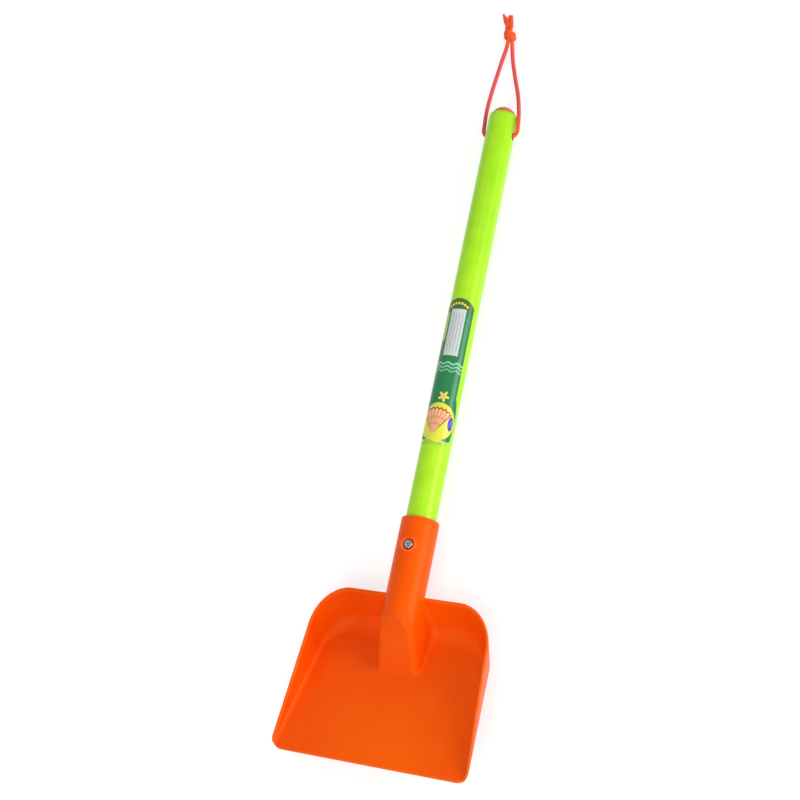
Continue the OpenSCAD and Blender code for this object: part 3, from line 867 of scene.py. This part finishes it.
def tail_parts(route, exit_side, widths, depths, threads, reach, seed):
    """Parts of one tail: its braided end and the threads that stand out of it."""
    chance = np.random.default_rng(seed)
    start = KNOT_AT + KNOT_LEN / 2 * KNOT_DIR + exit_side * STRAND_X * KNOT_SIDE
    points = np.vstack([start, np.array(route) / MM])
    line, along = smooth_line(points, KNOT_DIR, unit(points[-1] - points[-2]), CORD_STEP)
    share = along / along[-1]
    wide = np.interp(share, widths[0], widths[1])
    thick = np.interp(share, depths[0], depths[1])
    line[:, 2] = np.maximum(line[:, 2], thick - HOLE_AT.z)
    across = unit(np.cross(line[-1] - line[0], UP))
    parts = [tube_parts(line, along, across, wide, thick, 1.0)]
    way = unit(line[-1] - line[-4])
    root = line[-1] - way * THREAD_ROOT
    for _ in range(threads):
        turn = chance.uniform(0, 2 * pi)
        out = sqrt(chance.uniform(0, 1)) * THREAD_FILL
        shift = across * wide[-1] * out * cos(turn) + UP * thick[-1] * out * sin(turn)
        lean = shift * THREAD_SPREAD
        lean = lean + across * chance.normal(0, THREAD_SWAY) + UP * chance.normal(0, THREAD_RISE)
        length = chance.uniform(*reach)
        bend = across * chance.normal(0, THREAD_BEND)
        thread, faces = thread_parts(root + shift, unit(way + lean), bend, length)
        thread[:, 2] = np.maximum(thread[:, 2], THREAD_R / 2 - HOLE_AT.z)
        lay = np.tile((chance.uniform(0.3, 1), 1.0, 0.0), (len(thread), 1))
        parts.append((thread, faces, lay))
    return parts


def make_cords():
    left, left_path = make_strand("cord_left_side", "cord_left", LEFT_ROUTE, -1, LEFT_TONE)
    right, right_path = make_strand("cord_right_side", "cord_right", RIGHT_ROUTE, 1, RIGHT_TONE)
    ends = np.array([(-BEND_START, 0, 0), (BEND_START, 0, 0)], float)
    line, along = even_line(ends, CORD_STEP)
    through = tube_parts(line, along, UP, CROWN_R, CROWN_R, HOLE_TONE)
    through = cord_piece("cord_inside_shaft", [through], "cord_through")
    knot = make_knot()
    tails = tail_parts(LEFT_TAIL, -1, LEFT_WIDE, LEFT_THICK, LEFT_THREADS, LEFT_REACH, LEFT_SEED)
    tails += tail_parts(RIGHT_TAIL, 1, RIGHT_WIDE, RIGHT_THICK, RIGHT_THREADS, RIGHT_REACH, RIGHT_SEED)
    tails = cord_piece("cord_tails_frayed", tails, "cord_tails")
    for strand, path, side, length, more in (
        (left, left_path, -1, LEFT_LEN, [through, knot, tails]),
        (right, right_path, 1, RIGHT_LEN, []),
    ):
        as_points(path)
        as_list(more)


# Blade: a distance field of the whole moulding, meshed inside this box of the scoop's frame
BLADE_LOW = (-75.7, -105.3, -4.3)
BLADE_HIGH = (75.7, 72, 64)
BLADE_NET = 0.8


def blade_field(x, y, z):
    """Distance to the moulding's surface, in millimetres, from points of the scoop's frame."""
    x = np.abs(x)
    shaft_y = y * cos(LIFT) + z * sin(LIFT) - SOCKET_LEN
    shaft_z = -y * sin(LIFT) + z * cos(LIFT) - HEEL_DROP
    ahead = y + FLOOR_LEN
    side = (x - FLOOR_W / 2) * cos(SIDE_CLOSE) + ahead * sin(SIDE_CLOSE)
    side = side * cos(SIDE_LEAN) - z * sin(SIDE_LEAN)
    back = y * cos(BACK_LEAN) - z * sin(BACK_LEAN)
    # the walls inside, and how much of the turn to the back wall is done
    walls = inner_round(side, back, CORNER_R)
    to_side = np.maximum(side + CORNER_R, 0)
    to_back = np.maximum(back + CORNER_R, 0)
    turned = eased(to_back / (to_side + to_back + TINY))
    # the shell: an even wall round the inside, with a round rim and a cut front
    rise = (RIM_BACK - RIM_FRONT) / FLOOR_LEN
    rim_z = RIM_FRONT + rise * ahead
    fillet = SIDE_FILLET + (HEEL_FILLET - SIDE_FILLET) * turned
    fillet = np.clip(np.minimum(fillet, rim_z), LEAST_FILLET, HEEL_FILLET)
    inside = inner_round(walls, -z, fillet)
    above = (z - rim_z) / hypot(1, rise) + WALL / 2
    sheet = np.hypot(inside - WALL / 2, np.maximum(above, 0)) - WALL / 2
    front = inner_round(side - WALL - FRONT_SPARE, -ahead, FRONT_R)
    shell = inner_round(sheet, front, EDGE_R)
    # the ridge: the socket's round carried on to the nose, with leaning flanks and a cut slope
    tube = np.hypot(x, shaft_z) - SOCKET_R
    along = np.clip(-y / RIDGE_LEN, *RIDGE_REACH)
    half = RIDGE_HALF_HEEL + (RIDGE_HALF_NOSE - RIDGE_HALF_HEEL) * along
    axis_z = HEEL_DROP / cos(LIFT) + y * tan(LIFT)
    flank = x - SOCKET_R - (half - SOCKET_R) * (1 - z / axis_z)
    wedge = inner_round(flank * cos(RIDGE_LEAN), shaft_z, RIDGE_TOP_R)
    ridge = np.minimum(tube, wedge)
    slope = atan2(SLOPE_START[1] - NOSE_AT[1], SLOPE_START[0] - NOSE_AT[0])
    cut = (shaft_z - NOSE_AT[1]) * cos(slope) - (shaft_y - NOSE_AT[0]) * sin(slope)
    # the slope's edge is rounded most on top, and less the blunter it is
    top = np.clip(shaft_z / (np.hypot(x, shaft_z) + TINY), 0, 1)
    half_turn = np.sqrt((1 + top * cos(slope)) / 2)
    turn_r = SLOPE_EDGE + (SLOPE_TURN - SLOPE_EDGE) * top**3
    turn_r = turn_r * (1 - half_turn) / (1 - sqrt(0.5))
    ridge = inner_round(ridge, cut, turn_r)
    hollow = ridge + WALL
    ridge = inner_round(ridge, back - IN_BACK, IN_BACK_R)
    ridge = inner_round(ridge, -z - IN_FLOOR, IN_FLOOR_R)
    # the socket's tube with its round mouth, its closed end and the lip of the screw's seat
    socket = inner_round(tube, shaft_y + MOUTH_BACK, MOUTH_R)
    socket = np.maximum(socket, -SOCKET_DEPTH - WALL - shaft_y)
    socket = inner_round(socket, cut, turn_r)
    seat_r = np.hypot(x, shaft_y - SCREW_Y)
    lip = inner_round(seat_r - LIP_R, shaft_z - SOCKET_R - LIP_H, LIP_EDGE_R)
    lip = np.maximum(lip, -shaft_z)
    socket = outer_round(socket, lip, LIP_EDGE_R)
    foot_r = FOOT_HEEL + (FOOT_NOSE - FOOT_HEEL) * np.clip(along, 0, 1)
    foot_r = foot_r * np.clip((rim_z - z) / FOOT_FADE, FOOT_LEAST, 1)
    solid = outer_round(shell, np.minimum(ridge, socket), foot_r)
    # the hollow under the ridge with its rib, the screw's recess and the bore
    hollow = inner_round(hollow, back + IN_BACK, HOLLOW_R)
    hollow = inner_round(hollow, RIB_T / 2 - x, RIB_R)
    solid = np.minimum(inner_round(solid, -hollow, RIB_R), socket)
    recess = np.maximum(seat_r - RECESS_R, SEAT_Z - shaft_z)
    solid = inner_round(solid, -recess, RECESS_EDGE_R)
    bore = np.maximum(np.hypot(x, shaft_z) - BORE_R, -SOCKET_DEPTH - shaft_y)
    return inner_round(solid, -bore, BORE_EDGE_R)


def make_blade():
    points, faces = surface_net(blade_field, BLADE_LOW, BLADE_HIGH, BLADE_NET)
    blade = new_object("scoop_and_socket", placed(scoop_to_shaft(points)), faces, ORANGE)
    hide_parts("blade")
    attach(blade, "shovel")


# Screw: a pan head with a tapered cross recess on a plain shank
HEAD_R = 3.2
HEAD_H = 1.9
HEAD_DOME = 0.3
HEAD_EDGE_R = 0.9
CROSS_TURN = radians(28.0)
CROSS_L = 4.2
CROSS_W = 0.8
CROSS_DEPTH = 1.2
CROSS_TAPER = 0.12
CROSS_EDGE_R = 0.12
SHANK_R = 1.75
SCREW_LEN = 9.5
TIP_LEN = 2.5
SCREW_NET = 0.12
SCREW_SPARE = 0.3


def screw_field(x, y, z):
    """Distance to the screw's surface, in millimetres, from the middle of the seat."""
    r = np.hypot(x, y)
    top = HEAD_H - HEAD_DOME * (r / HEAD_R) ** 2
    head = inner_round(r - HEAD_R, z - top, HEAD_EDGE_R)
    head = np.maximum(head, -z)
    deep = HEAD_H - z
    one_arm = np.abs(x * cos(CROSS_TURN) + y * sin(CROSS_TURN))
    other_arm = np.abs(y * cos(CROSS_TURN) - x * sin(CROSS_TURN))
    arms = np.minimum(one_arm, other_arm) - CROSS_W / 2 + CROSS_TAPER * deep
    recess = np.maximum(arms, (r - CROSS_L / 2 + deep) * sqrt(0.5))
    recess = np.maximum(recess, deep - CROSS_DEPTH)
    head = inner_round(head, -recess, CROSS_EDGE_R)
    shank_r = SHANK_R * np.clip((z + SCREW_LEN) / TIP_LEN, -1, 1)
    shank = np.maximum(r - shank_r, z - HEAD_H / 4)
    return np.minimum(head, shank)


def make_screw():
    wide = HEAD_R + 2 * SCREW_NET
    low_corner = (-wide, -wide, -SCREW_LEN - SCREW_SPARE)
    high_corner = (wide, wide, HEAD_H + SCREW_SPARE)
    points, faces = surface_net(screw_field, low_corner, high_corner, SCREW_NET)
    points = placed(points + np.array((0, SCREW_Y, SEAT_Z)))
    screw = new_object("pan_head_screw", points, faces, PLATED)
    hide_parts("socket_screw")
    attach(screw, "shovel")


def make_label():
    """A thin film bent round the front of the shaft, arched at the top, with a swell at its right."""
    half = SHAFT_D / 2 * LABEL_WRAP / 2
    half_x = SHAFT_R * sin(LABEL_WRAP / 2)
    u = np.linspace(-half, half, LABEL_COLUMNS)
    x = SHAFT_R * np.sin(u / SHAFT_R)
    past = np.clip(np.abs(x) - (half_x - LABEL_R), 0, LABEL_R)
    low_v = LABEL_FROM + LABEL_R - np.sqrt(LABEL_R**2 - past**2)
    high_v = ARCH_AT + np.sqrt(ARCH_R**2 - u**2)
    rows = LABEL_ROWS
    share = np.linspace(0, 1, rows)[None, :]
    v = low_v[:, None] * (1 - share) + high_v[:, None] * share
    swell = np.clip(1 - ((v - SWELL_AT) / SWELL_LONG) ** 2, 0, 1) ** SWELL_ROUND
    flat = u[:, None] + SWELL * swell * np.clip(u[:, None] / half, 0, 1) ** 3
    turn = flat / SHAFT_R
    points = []
    for r in (SHAFT_R + LABEL_GAP + LABEL_T, SHAFT_R + LABEL_GAP):
        points.append(np.stack([r * np.sin(turn), v, r * np.cos(turn)], -1).reshape(-1, 3))
    count = len(u) * rows
    faces = []
    for i in range(len(u) - 1):
        for j in range(rows - 1):
            a = i * rows + j
            faces.append((a, a + 1, a + rows + 1, a + rows))
            faces.append((count + a, count + a + rows, count + a + rows + 1, count + a + 1))
    rim = [i * rows for i in range(len(u))]
    rim += [(len(u) - 1) * rows + j for j in range(1, rows)]
    rim += [i * rows + rows - 1 for i in range(len(u) - 2, -1, -1)]
    rim += list(range(rows - 2, 0, -1))
    for a, b in zip(rim, rim[1:] + rim[:1]):
        faces.append((a, b, count + b, count + a))
    label = new_object("label_print", placed(np.vstack(points)), faces, FILM)
    uv = np.stack([flat, v, np.zeros_like(v)], -1).reshape(-1, 3)
    write_lay(label, np.vstack([uv, uv]))
    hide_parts("label")
    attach(label, "shovel")


# Floor and light: places and sizes in metres, power in watts. SEEN_GREY with FLOOR_GLOW makes the
# floor white where it is seen, and PALE_GREYS is what lights the shovel from below.
FLOOR_HALF = 4.0
FLOOR_SCALE = 3.0
FLOOR_GLOW = 0.62
SEEN_GREY = 0.5
PALE_GREYS = (0.84, 0.88)
KEY = {"place": (1.5, 0.25, 0.5), "size": 1.0, "power": 15.5}
FILL = {"place": (0.2, -1.2, 1.5), "size": 1.5, "power": 12}
WORLD_LEVEL = 0.62


def grey(level):
    return (level, level, level, 1)


def seen_rays(tree):
    """1 for the camera's rays and for those that gloss or glass sends on, 0 for the rest."""
    path = tree.nodes.new("ShaderNodeLightPath").outputs
    seen = path["Is Camera Ray"]
    for ray in ("Is Glossy Ray", "Is Transmission Ray"):
        either = tree.nodes.new("ShaderNodeMath")
        either.operation = "MAXIMUM"
        tree.links.new(seen, either.inputs[0])
        tree.links.new(path[ray], either.inputs[1])
        seen = either.outputs[0]
    return seen


def make_stage():
    """A pale floor: it turns white where it is seen and keeps a faint shadow."""
    m = Nodes("pale_floor")
    seen = seen_rays(m.tree)
    pale = m.ramp(m.noise(FLOOR_SCALE), [(0, grey(PALE_GREYS[0])), (1, grey(PALE_GREYS[1]))])
    m.set(Base_Color=m.mix(seen, pale, grey(SEEN_GREY)), Roughness=0.9, Specular_IOR_Level=0.0)
    m.set(Emission_Color=grey(1), Emission_Strength=m.math("MULTIPLY", seen, FLOOR_GLOW))
    corners = [(x * FLOOR_HALF, y * FLOOR_HALF, 0) for x, y in ((-1, -1), (1, -1), (1, 1), (-1, 1))]
    new_object("floor", corners, [(0, 1, 2, 3)], m.material)


def add_light(name, place, size, power):
    """Round soft lamp that shines at the middle of the shovel."""
    light = bpy.data.objects.new(name, bpy.data.lights.new(name, "AREA"))
    light.data.shape = "DISK"
    light.data.size = size
    light.data.energy = power
    light.location = place
    light.rotation_euler = (-Vector(place)).to_track_quat("-Z", "Y").to_euler()
    bpy.context.scene.collection.objects.link(light)


def make_light():
    """Two soft lamps and a world that is white where it is seen and dimmer as a light."""
    add_light("key", **KEY)
    add_light("fill", **FILL)
    world = bpy.data.worlds.new("world")
    bpy.context.scene.world = world
    world.use_nodes = True
    tree = world.node_tree
    level = tree.nodes.new("ShaderNodeMapRange")
    level.inputs["To Min"].default_value = WORLD_LEVEL
    tree.links.new(seen_rays(tree), level.inputs["Value"])
    background = tree.nodes["Background"]
    background.inputs["Color"].default_value = grey(1)
    tree.links.new(level.outputs["Result"], background.inputs["Strength"])


make_cords()
make_blade()
make_screw()
make_label()
make_stage()
make_light()
bpy.context.scene.view_settings.view_transform = "Standard"
